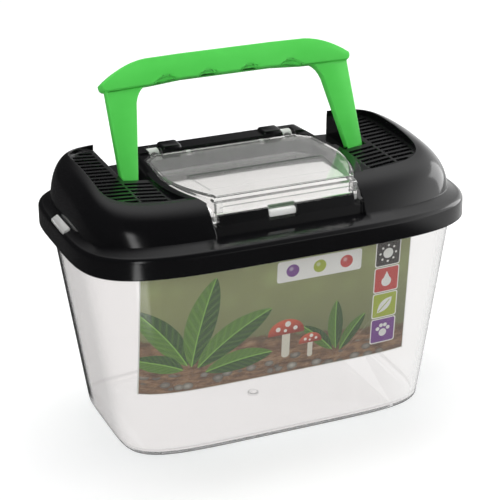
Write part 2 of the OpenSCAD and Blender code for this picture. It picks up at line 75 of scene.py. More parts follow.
def cad_copy(node, name):
    """A merged copy of a CAD node's mesh, with its flat faces made whole."""
    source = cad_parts[node]
    piece = put(name, source.data.copy())
    piece.data.materials.clear()
    pick(piece)
    bpy.ops.object.mode_set(mode="EDIT")
    bpy.ops.mesh.select_all(action="SELECT")
    bpy.ops.mesh.remove_doubles(threshold=0.004 * MM)
    bpy.ops.mesh.select_all(action="SELECT")
    bpy.ops.mesh.dissolve_limited(angle_limit=math.radians(0.5))
    bpy.ops.object.mode_set(mode="OBJECT")
    return piece


def finish_with(piece, kind, **settings):
    """Adds a modifier with its settings and applies it."""
    pick(piece)
    modifier = piece.modifiers.new(kind.title(), kind)
    for key, value in settings.items():
        setattr(modifier, key, value)
    bpy.ops.object.modifier_apply(modifier=modifier.name)
    return piece


def round_edges(piece, width, segments):
    return finish_with(piece, "BEVEL", width=width, segments=segments, limit_method="ANGLE",
                       angle_limit=math.radians(28), use_clamp_overlap=False,
                       miter_outer="MITER_ARC", harden_normals=False)


def smooth(piece, angle):
    pick(piece)
    bpy.ops.object.shade_smooth_by_angle(angle=math.radians(angle))
    return piece


def dress(piece, material, body, slot, *nodes):
    """Gives a finished piece its material and its body, and hides the CAD nodes it stands for; the slot is
    not used.
    """
    piece.data.materials.clear()
    piece.data.materials.append(material)
    piece.data.polygons.foreach_set("material_index", [0] * len(piece.data.polygons))
    piece.data.update()
    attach(piece, body)
    if nodes:
        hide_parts(*nodes)
    return piece


# ---- shader helpers

class Wire:
    """A node socket that takes part in Python expressions."""

    def __init__(self, shader, socket):
        self.shader = shader
        self.socket = socket

    def math(self, operation, *others, clamp=False):
        return self.shader.node("ShaderNodeMath", {"operation": operation, "use_clamp": clamp},
                                dict(enumerate((self, *others))))

    def __add__(self, other):
        return self.math("ADD", other)

    __radd__ = __add__

    def __sub__(self, other):
        return self.math("SUBTRACT", other)

    def __rsub__(self, other):
        return self.shader.value_math("SUBTRACT", other, self)

    def __mul__(self, other):
        return self.math("MULTIPLY", other)

    __rmul__ = __mul__

    def __truediv__(self, other):
        return self.math("DIVIDE", other)

    def __rtruediv__(self, other):
        return self.shader.value_math("DIVIDE", other, self)

    def __pow__(self, other):
        return self.math("POWER", other)

    def __abs__(self):
        return self.math("ABSOLUTE")

    def out(self, name):
        return Wire(self.shader, self.socket.node.outputs[name])


def hypot(a, b):
    return (a * a + b * b).math("SQRT")


class Shader:
    """The nodes of a material or of the world, and the one method that adds them."""

    def __init__(self, owner):
        self.owner = owner
        owner.use_nodes = True
        self.tree = owner.node_tree
        self.tree.nodes.clear()

    def node(self, kind, settings=None, inputs=None, output=0):
        made = self.tree.nodes.new(kind)
        for key, value in (settings or {}).items():
            if key == "stops":
                ramp = made.color_ramp
                while len(ramp.elements) < len(value):
                    ramp.elements.new(0.5)
                for element, (place, colour) in zip(ramp.elements, value):
                    element.position = place
                    element.color = (*colour, 1.0)
            else:
                setattr(made, key, value)
        for key, value in (inputs or {}).items():
            socket = made.inputs[key]
            if isinstance(value, Wire):
                self.tree.links.new(value.socket, socket)
            elif value is not None:
                socket.default_value = (*value, 1.0) if socket.type == "RGBA" else value
        return Wire(self, made.outputs[output]) if len(made.outputs) else made

    def value_math(self, operation, first, second):
        return self.node("ShaderNodeMath", {"operation": operation}, {0: first, 1: second})

    def place(self):
        """Object coordinates in millimetres, whole and as x, y, z."""
        here = self.node("ShaderNodeTexCoord", output="Object")
        scaled = self.node("ShaderNodeVectorMath", {"operation": "SCALE"}, {0: here, "Scale": 1 / MM})
        parts = self.node("ShaderNodeSeparateXYZ", inputs={0: scaled})
        return scaled, parts.out("X"), parts.out("Y"), parts.out("Z")

    def noise(self, where, scale, detail=2.0, roughness=0.5):
        return self.node("ShaderNodeTexNoise", {}, {"Vector": where, "Scale": scale, "Detail": detail,
                                                    "Roughness": roughness}, output="Fac")

    def step(self, wire, low, high):
        """0 below low and 1 above high, smooth between."""
        return self.node("ShaderNodeMapRange", {"interpolation_type": "SMOOTHSTEP"},
                         {0: wire, 1: low, 2: high, 3: 0.0, 4: 1.0})

    def below(self, wire, low, high):
        """1 below low and 0 above high."""
        return 1 - self.step(wire, low, high)

    def near(self, wire, place, low, high):
        """1 within low of a place and 0 beyond high."""
        return self.below(abs(wire - place), low, high)

    def normal(self):
        """The surface's own direction, as x, y, z."""
        parts = self.node("ShaderNodeSeparateXYZ",
                          inputs={0: self.node("ShaderNodeNewGeometry", output="Normal")})
        return parts.out("X"), parts.out("Y"), parts.out("Z")

    def mix(self, factor, first, second):
        """The first colour where the factor is 0 and the second where it is 1."""
        return self.node("ShaderNodeMix", {"data_type": "RGBA"},
                         {"Factor": factor, 6: first, 7: second}, output=2)

    def bump(self, height, strength, distance, normal=None):
        return self.node("ShaderNodeBump", {}, {"Height": height, "Strength": strength,
                                                "Distance": distance, "Normal": normal})

    def either(self, factor, first, second):
        """The first shader where the factor is 0 and the second where it is 1."""
        return self.node("ShaderNodeMixShader", {}, {0: factor, 1: first, 2: second})

    def glow(self, strength):
        """Even white light, on a surface or in the world."""
        kind = "Background" if isinstance(self.owner, bpy.types.World) else "Emission"
        return self.node("ShaderNode" + kind, {}, {"Color": WHITE, "Strength": strength})

    def surface(self, shader):
        kind = "World" if isinstance(self.owner, bpy.types.World) else "Material"
        out = self.tree.nodes.new("ShaderNodeOutput" + kind)
        self.tree.links.new(shader.socket, out.inputs["Surface"])
        return self.owner


def new_material(name):
    return Shader(bpy.data.materials.new(name))


# ---- materials

def black_plastic(look):
    """Glossy black moulding with faint flow marks, satin vented decks and edges that shine as rounded."""
    s = new_material("black_plastic")
    where, x, _, _ = s.place()
    flow = s.noise(where, 0.035, 3.0, 0.55)
    grain = s.noise(where, 0.5, 3.0)
    edge = s.node("ShaderNodeBevel", {"samples": 6}, {"Radius": look.edge_round})
    colour = s.mix(flow, look.lid, [1.6 * v for v in look.lid])
    upright = s.normal()[2]
    decks = s.step(upright, 0.96, 0.99) * s.step(abs(x), FRAME.side_x + 0.1, FRAME.side_x + 0.7)
    colour = s.mix(decks * (flow * 0.5 + 0.6), colour, look.deck)
    rough = flow * 0.05 + grain * 0.03 + decks * 0.12 + look.lid_roughness
    return s.surface(s.node("ShaderNodeBsdfPrincipled", {}, {
        "Base Color": colour, "Roughness": rough,
        "Normal": s.bump(grain, 0.04, 0.15 * MM, edge), "IOR": 1.47}))


def green_plastic(look):
    """Satin green moulding, a little lighter where the melt flowed last."""
    s = new_material("green_plastic")
    where = s.place()[0]
    blotch = s.noise(where, 0.045, 3.0, 0.6)
    drawn = s.node("ShaderNodeMapping", {}, {"Vector": where, "Scale": (0.02, 0.3, 0.05)})
    streak = s.noise(drawn, 1.0, 2.0)
    colour = s.mix(blotch * 0.65 + streak * 0.35, look.handle, look.handle_light)
    grain = s.noise(where, 1.4, 2.0)
    return s.surface(s.node("ShaderNodeBsdfPrincipled", {}, {
        "Base Color": colour, "Roughness": blotch * 0.12 + 0.3,
        "Normal": s.bump(grain, 0.1, 0.05 * MM), "IOR": 1.47}))


def clear_plastic(name, rough, cloud, specular, milk, tint):
    """Clear moulded plastic that lets lamp light through, with its white share and tint at a place."""
    s = new_material(name)
    where, x, y, z = s.place()
    flow = s.noise(where, 0.03, 2.0)
    wave = s.noise(where, 0.06, 2.0)
    glass = s.node("ShaderNodeBsdfPrincipled", {}, {
        "Base Color": tint(s, x, y, z), "Roughness": flow * cloud + rough, "IOR": 1.46,
        "Specular IOR Level": specular, "Transmission Weight": 1.0,
        "Normal": s.bump(wave, 0.05, 0.3 * MM)})
    white = s.node("ShaderNodeBsdfDiffuse", {}, {"Color": (0.93, 0.93, 0.91)})
    air = s.node("ShaderNodeBsdfTransparent", {}, {"Color": (0.93, 0.94, 0.94)})
    path = s.node("ShaderNodeLightPath", output="Is Shadow Ray")
    lit = path.math("MAXIMUM", path.out("Is Diffuse Ray"))
    return s.surface(s.either(lit, s.either(milk(s, x, y, z), glass, white), air))


def tub_milk(look):
    """The white share of the tub, which grows towards its rim."""
    return lambda s, x, y, z: s.step(z, TUB.top - 5, TUB.top - 1) * look.rim_milk + 0.005


def tub_tint(look):
    """The tub's tint: painted light that makes the right end lighter, a painted shade line along its foot
    and grey round the moulding mark.
    """
    def tint(s, x, y, z):
        # painted light: the right end is lighter where the light from the right falls on it
        colour = s.mix(s.step(x, 45.0, 75.0), look.clear_tub, look.tub_painted_light)
        # painted shade: a grey line along the foot; the same grey marks the moulding mark
        foot = s.near(z, TUB.foot + 0.7, 0.3, 0.9)
        far = hypot(x, y)
        mark = s.near(far, TUB.mark_r - 0.1, 0.3, 0.8) * s.below(z, TUB.floor + 0.6, TUB.floor + 0.8)
        return s.mix((foot * 0.3).math("MAXIMUM", mark * 0.7), colour, look.tub_shade_and_mark)
    return tint


def hatch_milk(look):
    """The white share of the hatch: its catch, and painted glints on the rims of its knuckles, its ribs
    and lip corners.
    """
    def share(s, x, y, z):
        nose_y, nose_z, tail_y = FRAME.nose_y, FRAME.nose_z, FRAME.tail_y
        catch = s.below(z, HATCH.catch_top - 0.1, HATCH.catch_top + 0.15)
        kx, kz = abs(x) - FRAME.knuckle_x, z - FRAME.hinge_z
        far = hypot(kx, kz)
        behind = s.step(y, tail_y + 2.8, tail_y + 3.2)
        # painted glints: the knuckles' rims, the ribs and the lip corners are whitened where they shine
        knuckle = behind * s.step(far, 2.5, 3.1)
        rib = s.near(abs(x), HATCH.rib_x, 0.9, 1.3) * s.step(y, tail_y - 3.0, tail_y - 2.6) * (1 - behind)
        corner = s.near(abs(x), HATCH.corner_x, 1.5, 2.3) * s.step(z, nose_z - 7.4, nose_z - 6.8)
        corner = corner * s.below(y, nose_y + 0.8, nose_y + 1.4)
        white = (catch * look.catch_milk).math("MAXIMUM", knuckle * look.knuckle_painted_glint)
        return white.math("MAXIMUM", rib.math("MAXIMUM", corner) * look.rib_corner_glint) + look.hatch_milk
    return share


def hatch_tint(look):
    """The hatch's tint, with painted shade on the step round its pane, its front edge and the lip's
    middle, tinted green as a painted reflection of the handle.
    """
    def tint(s, x, y, z):
        nose_y, nose_z, tail_z, sill = FRAME.nose_y, FRAME.nose_z, FRAME.tail_z, FRAME.sill
        wide, line_x, neck_x = HATCH.pane_rear_x, HATCH.line_x, HATCH.neck_x
        top = s.step(z, tail_z - 1.2, tail_z - 0.8)
        rear = s.near(y, HATCH.pane_rear, 0.25, 0.6) * s.below(abs(x), wide - 0.8, wide) * top
        lean = abs(x) - HATCH.pane_front_x - (y - HATCH.pane_front) * HATCH.pane_slope
        ends = s.near(y, HATCH.pane_y, HATCH.pane_half - 0.4, HATCH.pane_half + 0.4) * top
        ends = ends * s.below(abs(lean), 0.15, 0.4)
        edge = s.near(y, nose_y + 2.4, 0.3, 0.7) * s.step(z, nose_z - 1.2, nose_z - 0.9)
        lip = s.near(z, nose_z - HATCH.lip_line, 0.15, 0.35) * s.below(y, nose_y + 0.6, nose_y + 1.0)
        front = (edge * 0.9 + lip * 0.75) * s.below(abs(x), line_x - 0.8, line_x)
        neck = s.step(z, HATCH.catch_top + 0.15, HATCH.catch_top + 0.25)
        neck = neck * s.below(z, sill + 0.7, sill + 1.1)
        neck = neck * s.near(x, FRAME.catch_x, neck_x + 0.2, neck_x + 0.4)
        # painted shade: dark lines where the clear steps, edges and the catch's neck look dark, tinted
        # green as the handle's painted reflection
        dark = rear.math("MAXIMUM", ends * 0.5).math("MAXIMUM", front).math("MAXIMUM", neck, clamp=True)
        return s.mix(dark, look.clear_hatch, look.hatch_painted_shade)
    return tint


class Print:
    """Flat shapes laid over each other on the card, in millimetres from its lower left corner."""

    def __init__(self, shader, across, up, ground):
        self.s, self.x, self.y, self.colour = shader, across, up, ground

    def lay(self, mask, colour, strength=1.0):
        self.colour = self.s.mix(mask * strength if strength != 1.0 else mask, self.colour, colour)

    def inside(self, distance, soft=0.12):
        """1 where a signed distance is below zero."""
        return 1 - self.s.step(distance, -soft, soft)

    def fill(self, distance, colour, soft=0.12):
        self.lay(self.inside(distance, soft), colour)

    def tile(self, cx, cy, half_w, half_h, corner=0.8):
        dx = abs(self.x - cx) - (half_w - corner)
        dy = abs(self.y - cy) - (half_h - corner)
        ox, oy = dx.math("MAXIMUM", 0.0), dy.math("MAXIMUM", 0.0)
        return hypot(ox, oy) + dx.math("MAXIMUM", dy).math("MINIMUM", 0.0) - corner

    def disc(self, cx, cy, radius):
        dx, dy = self.x - cx, self.y - cy
        return hypot(dx, dy) - radius

    def turned(self, cx, cy, degrees):
        """Coordinates along and across a direction, from a point."""
        c, n = math.cos(math.radians(degrees)), math.sin(math.radians(degrees))
        dx, dy = self.x - cx, self.y - cy
        return dx * c + dy * n, dy * c - dx * n

    def leaf(self, cx, cy, degrees, length, width, dark, light, bend=0.0):
        """A pointed leaf with a midrib and side veins, growing from a point."""
        s = self.s
        along, side = self.turned(cx, cy, degrees)
        t = along / length
        side = side - t * t * bend
        reach = (t * (1 - t) * 4).math("MAXIMUM", 0.0) ** 0.8 * (width / 2)
        ends = s.step(along, 0, 0.3) * (1 - s.step(along, length - 0.3, length))
        veins = ((along - abs(side) * 1.3) * (9.0 * math.tau / length)).math("SINE") * 0.5 + 0.5
        tone = s.mix(s.step(side, -0.4, 0.4) * 0.55 + veins ** 3 * 0.3, dark, light)
        midrib = [min(1.0, v * 1.5 + 0.03) for v in light]
        tone = s.mix(self.inside(abs(side) - 0.28, 0.12), tone, midrib)
        self.lay(self.inside(abs(side) - reach, 0.15) * ends, tone)


CARD = SimpleNamespace(left=-75.0, foot=35.0, length=137.0, height=66.0, sign_x=124.5, sign_y=55.5,
                       sign_pitch=14.2, sign_half=6.9, dot_x=74.0, dot_pitch=14.0, dot_r=3.3)
PAPER = (0.93, 0.92, 0.88)
SIGN_WHITE = (0.9, 0.9, 0.86)
BARK = ((0.3, (0.035, 0.014, 0.008)), (0.45, (0.16, 0.08, 0.04)), (0.58, (0.36, 0.21, 0.11)),
        (0.72, (0.58, 0.44, 0.27)))


def woodland(s, flat, up):
    """A soft green ground, lighter upwards."""
    haze = s.noise(flat, 0.028, 3.0, 0.55)
    return s.mix(s.step(up + haze * 30, 8, 84), (0.16, 0.175, 0.08), (0.32, 0.345, 0.14))


def print_far_light(p, flat):
    """Out-of-focus light between far leaves."""
    spots = p.s.node("ShaderNodeTexVoronoi", {"feature": "SMOOTH_F1"},
                     {"Vector": flat, "Scale": 0.075, "Smoothness": 0.6}, output="Distance")
    p.lay((1 - p.s.step(spots, 0.1, 0.55)) * p.s.step(p.y, 30, 62), (0.42, 0.5, 0.2), 0.45)


def print_branch(p, flat, rough):
    """The bark of a lying branch, with its rough upper edge."""
    s = p.s
    drawn = s.node("ShaderNodeMapping", {}, {"Vector": flat, "Scale": (0.09, 0.5, 1.0),
                                             "Rotation": (0, 0, 0.16)})
    streaks = s.noise(drawn, 1.0, 5.0, 0.7)
    bark = s.node("ShaderNodeValToRGB", {"stops": BARK},
                  {"Fac": streaks * 0.6 + rough * 0.42}, output="Color")
    crest = 25.5 - p.x * 0.11 + rough * 7.0
    p.fill(p.y - crest, bark, 0.8)
    p.lay(p.inside(abs(p.y - crest + 1.2) - 1.4, 1.4), (0.07, 0.05, 0.02), 0.55)


def print_pebbles(p, flat, rough):
    """Pebbles at the branch's foot."""
    s = p.s
    lower = s.node("ShaderNodeMapping", {}, {"Vector": flat, "Scale": (1.0, 1.5, 1.0)})
    stones = s.node("ShaderNodeTexVoronoi", {"feature": "F1"},
                    {"Vector": lower, "Scale": 0.15, "Randomness": 0.8}, output="Distance")
    tone = s.mix(stones.out("Color"), (0.3, 0.27, 0.22), (0.72, 0.68, 0.58))
    tone = s.mix(stones * 1.9, tone, (0.05, 0.04, 0.03))
    p.lay(p.inside(stones - 0.42, 0.04) * p.inside(p.y - 7.5 - rough * 5, 0.6), tone)


def print_leaves(p, look):
    """A large plant on the left and a smaller, darker one behind, each leaf by its foot and way."""
    dark, light = look.leaf_dark, look.leaf_light
    for cx, cy, way, length, width, bend in (
            (22, 14, 118, 40, 13, 7), (24, 13, 82, 47, 15, -5), (27, 12, 46, 44, 14, -9),
            (20, 12, 152, 24, 10, 5), (31, 9, 16, 34, 11, -5)):
        p.leaf(cx, cy, way, length, width, dark, light, bend)
    dark, light = [v * 0.8 for v in dark], [v * 0.85 for v in light]
    for cx, cy, way, length, width, bend in (
            (97, 8, 128, 23, 7, 3), (99, 8, 96, 27, 8, -2), (101, 7, 62, 22, 7, -3)):
        p.leaf(cx, cy, way, length, width, dark, light, bend)


def print_toadstool(p, cx, cy, r):
    """A red toadstool with four pale dots."""
    p.fill(p.tile(cx, cy - r * 0.6, r * 0.22, r * 0.8, r * 0.2), (0.78, 0.74, 0.62), 0.2)
    dx, dy = p.x - cx, (p.y - cy) * 1.25
    cap = hypot(dx, dy) - r
    cap = cap.math("MAXIMUM", cy - 0.5 - p.y)
    tone = p.s.mix(p.s.step(dy + dx * -0.25, -2, r), (0.33, 0.035, 0.02), (0.72, 0.13, 0.06))
    p.fill(cap, tone, 0.2)
    for ox, oy, k in ((-0.45, 0.28, 0.13), (0.08, 0.52, 0.16), (0.5, 0.24, 0.12), (-0.05, 0.16, 0.09)):
        p.fill(p.disc(cx + ox * r, cy + oy * r, k * r), (0.9, 0.87, 0.8), 0.15)


def sun_sign(p, cx, cy, ground):
    p.fill(p.disc(cx, cy, 2.7), SIGN_WHITE)
    for k in range(8):
        turn = math.tau * k / 8
        p.fill(p.disc(cx + 4.3 * math.cos(turn), cy + 4.3 * math.sin(turn), 0.6), SIGN_WHITE)


def drop_sign(p, cx, cy, ground):
    p.fill(p.disc(cx, cy - 1.1, 2.7), SIGN_WHITE)
    along, side = p.turned(cx, cy + 4.4, -90)
    p.lay(p.inside(abs(side) - along * 0.47) * p.inside(abs(along - 2.3) - 2.3), SIGN_WHITE)


def leaf_sign(p, cx, cy, ground):
    along, side = p.turned(cx - 3.9, cy - 3.9, 45)
    t = along / 11.0
    p.lay(p.inside(abs(side) - (t * (1 - t)).math("MAXIMUM", 0.0) * 10.5), SIGN_WHITE)
    p.lay(p.inside(abs(side) - 0.25) * p.inside(abs(along - 5) - 4.2), ground)


def paw_sign(p, cx, cy, ground):
    p.fill(p.disc(cx, cy - 1.2, 2.1), SIGN_WHITE)
    for ox, oy in ((-2.9, 1.1), (-1.1, 2.9), (1.1, 2.9), (2.9, 1.1)):
        p.fill(p.disc(cx + ox, cy + oy, 1.05), SIGN_WHITE)


def print_signs(p, look):
    """A column of four plain tiles with white signs."""
    tiles = ((look.tile_dark, sun_sign), (look.tile_red, drop_sign), (look.tile_lime, leaf_sign),
             (look.tile_violet, paw_sign))
    for i, (ground, sign) in enumerate(tiles):
        cx, cy, half = CARD.sign_x, CARD.sign_y - i * CARD.sign_pitch, CARD.sign_half
        p.fill(p.tile(cx, cy, half, half, 1.2), PAPER)
        p.fill(p.tile(cx, cy, half - 0.55, half - 0.55, 0.9), ground)
        sign(p, cx, cy, ground)


def print_dots(p, look):
    """A pale plate with three shining dots."""
    middle = CARD.dot_x + CARD.dot_pitch
    p.fill(p.tile(middle, CARD.sign_y, 22, 5.6, 1.4), PAPER)
    for k, ink in enumerate((look.tile_violet, look.tile_lime, look.tile_red)):
        cx = CARD.dot_x + CARD.dot_pitch * k
        p.fill(p.disc(cx, CARD.sign_y, CARD.dot_r), ink)
        p.lay(p.inside(p.disc(cx - 0.8, CARD.sign_y + 1, 1.0), 0.5), WHITE, 0.35)


def printed_card(look):
    """A printed card: soft green woodland ground, bark and pebbles, leaves, a column of plain signs."""
    s = new_material("printed_card")
    _, x, _, z = s.place()
    across, up = x - CARD.left, z - CARD.foot
    flat = s.node("ShaderNodeCombineXYZ", {}, {"X": across, "Y": up, "Z": 0.0})
    rough = s.noise(flat, 0.16, 5.0, 0.65)
    p = Print(s, across, up, woodland(s, flat, up))
    print_far_light(p, flat)
    print_branch(p, flat, rough)
    print_pebbles(p, flat, rough)
    print_leaves(p, look)
    print_toadstool(p, 72, 22, 9.5)
    print_toadstool(p, 85, 15, 6.0)
    print_signs(p, look)
    print_dots(p, look)
    # ink grain, a fine white cut edge and the plain paper behind
    ink = s.noise(flat, 1.7, 2.0)
    p.lay(s.step(ink, 0.35, 0.8), (0.9, 0.88, 0.8), 0.06)
    edge = p.tile(CARD.length / 2, CARD.height / 2, CARD.length / 2, CARD.height / 2, 0.5)
    p.lay(s.step(edge, -0.45, -0.3), (0.88, 0.88, 0.84))
    rearward = s.normal()[1]
    colour = s.mix(s.step(rearward, -0.1, 0.1), p.colour, (0.8, 0.79, 0.75))
    return s.surface(s.node("ShaderNodeBsdfPrincipled", {}, {
        "Base Color": colour, "Roughness": ink * 0.1 + 0.34, "Normal": s.bump(ink, 0.08, 0.03 * MM)}))


# ---- shapes from sizes

OVER = 1.0
SKY = 172.0
ROUND = 288


def oval(half_l, front, rear, middle, square):
    """A squared oval: half-length, depth before and behind its middle line."""
    points = []
    for i in range(ROUND):
        turn = math.tau * i / ROUND
        c, s = math.cos(turn), math.sin(turn)
        x = half_l * math.copysign(abs(c) ** (2 / square), c)
        y = (rear if s >= 0 else front) * math.copysign(abs(s) ** (2 / square), s)
        points.append((x, middle + y))
    return points


def at(outline, z):
    return [(x, y, z) for x, y in outline]


def mm(length):
    """A user's length in millimetres, without the noise of its short float."""
    return round(length / MM, 4)


def blend(a, b, f):
    return a + (b - a) * f


def curve(points, f):
    """A Bezier curve of any order at f."""
    while len(points) > 1:
        points = [tuple(blend(p, q, f) for p, q in zip(a, b)) for a, b in zip(points, points[1:])]
    return points[0]


def both(half):
    """A half outline on the right, and its mirror image."""
    return half + [(-x, y) for x, y in reversed(half)]


def new_piece(name, points, faces):
    mesh = bpy.data.meshes.new(name)
    mesh.from_pydata([Vector(p) * MM for p in points], [], faces)
    return put(name, mesh)


def skin(name, rings):
    """A closed skin through rings of as many points each, lowest first."""
    count = len(rings[0])
    points = [p for ring in rings for p in ring]
    faces = [tuple(reversed(range(count))), tuple(range(len(points) - count, len(points)))]
    for j in range(len(rings) - 1):
        for i in range(count):
            k = (i + 1) % count
            faces.append((j * count + i, j * count + k, (j + 1) * count + k, (j + 1) * count + i))
    return new_piece(name, points, faces)


def extrude(name, outline, low, high, axis="Z"):
    """A flat outline, in the two other coordinates, filled and extruded along an axis."""
    k = "XYZ".index(axis)
    points = [(*place[:k], low, *place[k:]) for place in outline]
    way = [0, 0, 0]
    way[k] = (high - low) * MM
    piece = new_piece(name, points, [tuple(range(len(points)))])
    pick(piece)
    bpy.ops.object.mode_set(mode="EDIT")
    bpy.ops.mesh.select_all(action="SELECT")
    bpy.ops.mesh.extrude_region_move(TRANSFORM_OT_translate={"value": way})
    bpy.ops.mesh.select_all(action="SELECT")
    bpy.ops.mesh.normals_make_consistent(inside=False)
    bpy.ops.object.mode_set(mode="OBJECT")
    return piece


def box(name, low, high):
    (x0, y0, z0), (x1, y1, z1) = low, high
    return extrude(name, [(x0, y0), (x1, y0), (x1, y1), (x0, y1)], z0, z1)


def rod(name, middle, radius, length):
    """A round bar along X."""
    x, y, z = middle
    turns = [math.tau * i / 48 for i in range(48)]
    ring = [(y + radius * math.cos(turn), z + radius * math.sin(turn)) for turn in turns]
    return extrude(name, ring, x - length / 2, x + length / 2, "X")


def join(name, parts):
    pick(parts[0])
    for part in parts:
        part.select_set(True)
    bpy.ops.object.join()
    parts[0].name = name
    return parts[0]


def carve(piece, cutter, operation="DIFFERENCE"):
    """Takes the cutter's shape out of a piece, and the cutter away."""
    finish_with(piece, "BOOLEAN", object=cutter, operation=operation, solver="MANIFOLD")
    bpy.data.objects.remove(cutter)
    return piece


def unite(piece, part):
    return carve(piece, part, "UNION")


# ---- sizes of the lid

LID = SimpleNamespace(
    skirt_x=100.1, skirt_y=58.9, skirt_z=99.5, seat=108.3, ledge=110.3, dome=111.9, crown=132.3,
    dome_x=94.9, dome_front=49.4, dome_rear=52.2, rim_x=82.7, rim_front=-30.4, rim_rear=50.7, ridge_x=66.2,
    rim_mid=8.0, rim_n=6.0, mouth_n=4.4, wall=2.0, crown_y=15.0, fall=6.4, rear_fall=2.9)


def rim_height(y):
    fall, edge = (LID.fall, LID.rim_front) if y < LID.crown_y else (LID.rear_fall, LID.rim_rear)
    return LID.crown - fall * ((y - LID.crown_y) / (edge - LID.crown_y)) ** 2


def rim_outline(inset):
    front = LID.rim_mid - LID.rim_front - inset
    return oval(LID.rim_x - inset, front, LID.rim_rear - LID.rim_mid - inset, LID.rim_mid,
                LID.rim_n)


def dome_ring(f, inset):
    """The dome at f, from its foot on the ledge (0) to the tower rim (1)."""
    foot = oval(LID.dome_x - inset, LID.dome_front - inset, LID.dome_rear - inset, 0, LID.mouth_n)
    rim = oval(LID.rim_x - inset / 2, LID.rim_mid - LID.rim_front - inset / 2,
               LID.rim_rear - LID.rim_mid - inset, LID.rim_mid, LID.rim_n)
    edge = rim_outline(0)
    ring = []
    for i, (a, b, c) in enumerate(zip(foot, rim, edge)):
        front = max(0.0, -math.sin(math.tau * i / ROUND)) ** 2
        across = curve([(0,), (blend(0.04, 0.26, front),), (blend(0.42, 0.6, front),), (1,)], f)[0]
        up = curve([(0,), (blend(0.62, 0.64, front),), (0.94,), (1,)], f)[0]
        ring.append((blend(a[0], b[0], across), blend(a[1], b[1], across),
                     blend(LID.dome - inset, rim_height(c[1]) - inset, up)))
    return ring


def lid_skin(name, inset):
    """The lid's outside, or its inside when inset by the wall."""
    x, y = LID.skirt_x - inset, LID.skirt_y - inset

    def brim(drawn, z):
        return at(oval(x - drawn, y - drawn, y - drawn, 0, LID.mouth_n), z)

    if inset:
        rings = [brim(0, LID.skirt_z - OVER), brim(0, LID.seat)]
    else:
        foot, top, edge = 0.5, 2.4, 8
        rings = [brim(foot, LID.skirt_z), brim(0, LID.skirt_z + foot)]
        for i in range(edge + 1):
            turn = math.pi / 2 * i / edge
            rings.append(brim(top * (1 - math.cos(turn)), LID.ledge - top * (1 - math.sin(turn))))
    steps = 24
    rings += [dome_ring(i / steps, inset) for i in range(steps + 1)]
    rings.append([(px, py, rim_height(py) - inset) for px, py in rim_outline(inset + 1.2)])
    rings.append(at(rim_outline(inset + 1.8), LID.crown + 1))
    return skin(name, rings)


FRAME = SimpleNamespace(
    hatch_w=93.4, nose_w=73.2, tail_w=76.0, tail_y=33.2, nose_y=-42.0, nose_z=128.8, tail_z=125.6,
    gap=0.5, rear_gap=1.32, width=4.2, top=125.9, well=114.5, well_wall=3.4, sill=120.1, sill_y=-43.0,
    lean=3.2, recess_x=38.0, bar=126.7, bar_front=35.15, bar_rear=44.8, shoulder_x=46.2, shoulder_y=48.2,
    side_x=50.9, side_y=5, channel_x=64.3, channel_y=3.6, channel_z=116.5, hinge_y=40.6, hinge_z=122.4,
    knuckle_x=36.2, knuckle_w=6.0, block_w=10.6, pivot_y=6.5, pivot_z=119.4, lug_x=97.3, catch_x=-2.5)


def hatch_outline(grown, rear, front_y):
    half_w, nose = FRAME.hatch_w / 2, FRAME.nose_w / 2
    arc = [(half_w + grown, 0), (half_w - 0.5 + grown, -21 - grown * 0.5), (nose + grown, -37)]
    return both([(FRAME.tail_w / 2 + grown * 0.4, FRAME.tail_y + rear),
                 (half_w - 2.2 + grown, FRAME.tail_y - 7.4 + rear - grown * 0.6),
                 *(curve(arc, i / 16) for i in range(17)), (nose + grown, front_y)])


def frame_outline(grown):
    half_w, width, nose = FRAME.hatch_w / 2, FRAME.width, FRAME.nose_w / 2
    arc = [(half_w + width + grown, 0), (half_w - 0.5 + width + grown, -21 - width * 0.5),
           (nose + width + grown, -36)]
    shoulder, recess = FRAME.shoulder_x + grown, FRAME.recess_x + grown
    return both([(shoulder, 2 * LID.dome_rear), (shoulder, FRAME.shoulder_y),
                 (half_w + width + grown, FRAME.side_y), *(curve(arc, i / 16) for i in range(17)),
                 (recess, -38), (recess, -2 * LID.dome_front)])


def deck_cutter(grown):
    """What stands over the two vented decks, each of two facets about a ridge."""
    outer = LID.crown - 4.9
    half = [(LID.dome_x, SKY), (LID.dome_x, outer + 1.1), (LID.rim_x - 2, outer),
            (LID.ridge_x, outer - 1.1), (FRAME.side_x - grown, FRAME.top - 1.3), (0, FRAME.top - 6.3)]
    cutter = extrude("deck_cutter", both(half), -120, 120, "Y")
    drawn = Matrix.Translation((0, 0, -grown * MM))
    cutter.data.transform(drawn @ Matrix.Rotation(math.radians(0.8), 4, "X"))
    carve(cutter, extrude("rim_prism", rim_outline(0.6 - grown), LID.dome, SKY + 5), "INTERSECT")
    return carve(cutter, extrude("frame_prism", frame_outline(-grown), LID.dome - 5, SKY + 9))


def channel_cutter(grown):
    """The channels that the folded handle lies in."""
    outer, inner = FRAME.channel_x + grown, FRAME.side_x - grown
    shoulder, front = FRAME.shoulder_x - grown, FRAME.channel_y - grown
    outline = [(outer, front), (outer, 110), (shoulder, 110), (shoulder, FRAME.shoulder_y),
               (inner, FRAME.side_y), (inner, front)]
    halves = [extrude("channel", [(side * x, y) for x, y in outline], FRAME.channel_z - grown, SKY)
              for side in (-1, 1)]
    return join("channel_cutter", halves)


def frame_cutter(grown):
    side = [(-110, FRAME.top - grown), (FRAME.bar_front, FRAME.top - grown),
            (FRAME.bar_front, FRAME.bar - grown), (FRAME.bar_rear, FRAME.bar - grown),
            (LID.dome_rear - 1 - grown, FRAME.channel_z - grown), (110, FRAME.channel_z - grown),
            (110, SKY), (-110, SKY)]
    cutter = extrude("frame_cutter", side, -110, 110, "X")
    return carve(cutter, extrude("frame_prism", frame_outline(grown + OVER), 50, SKY + 9), "INTERSECT")


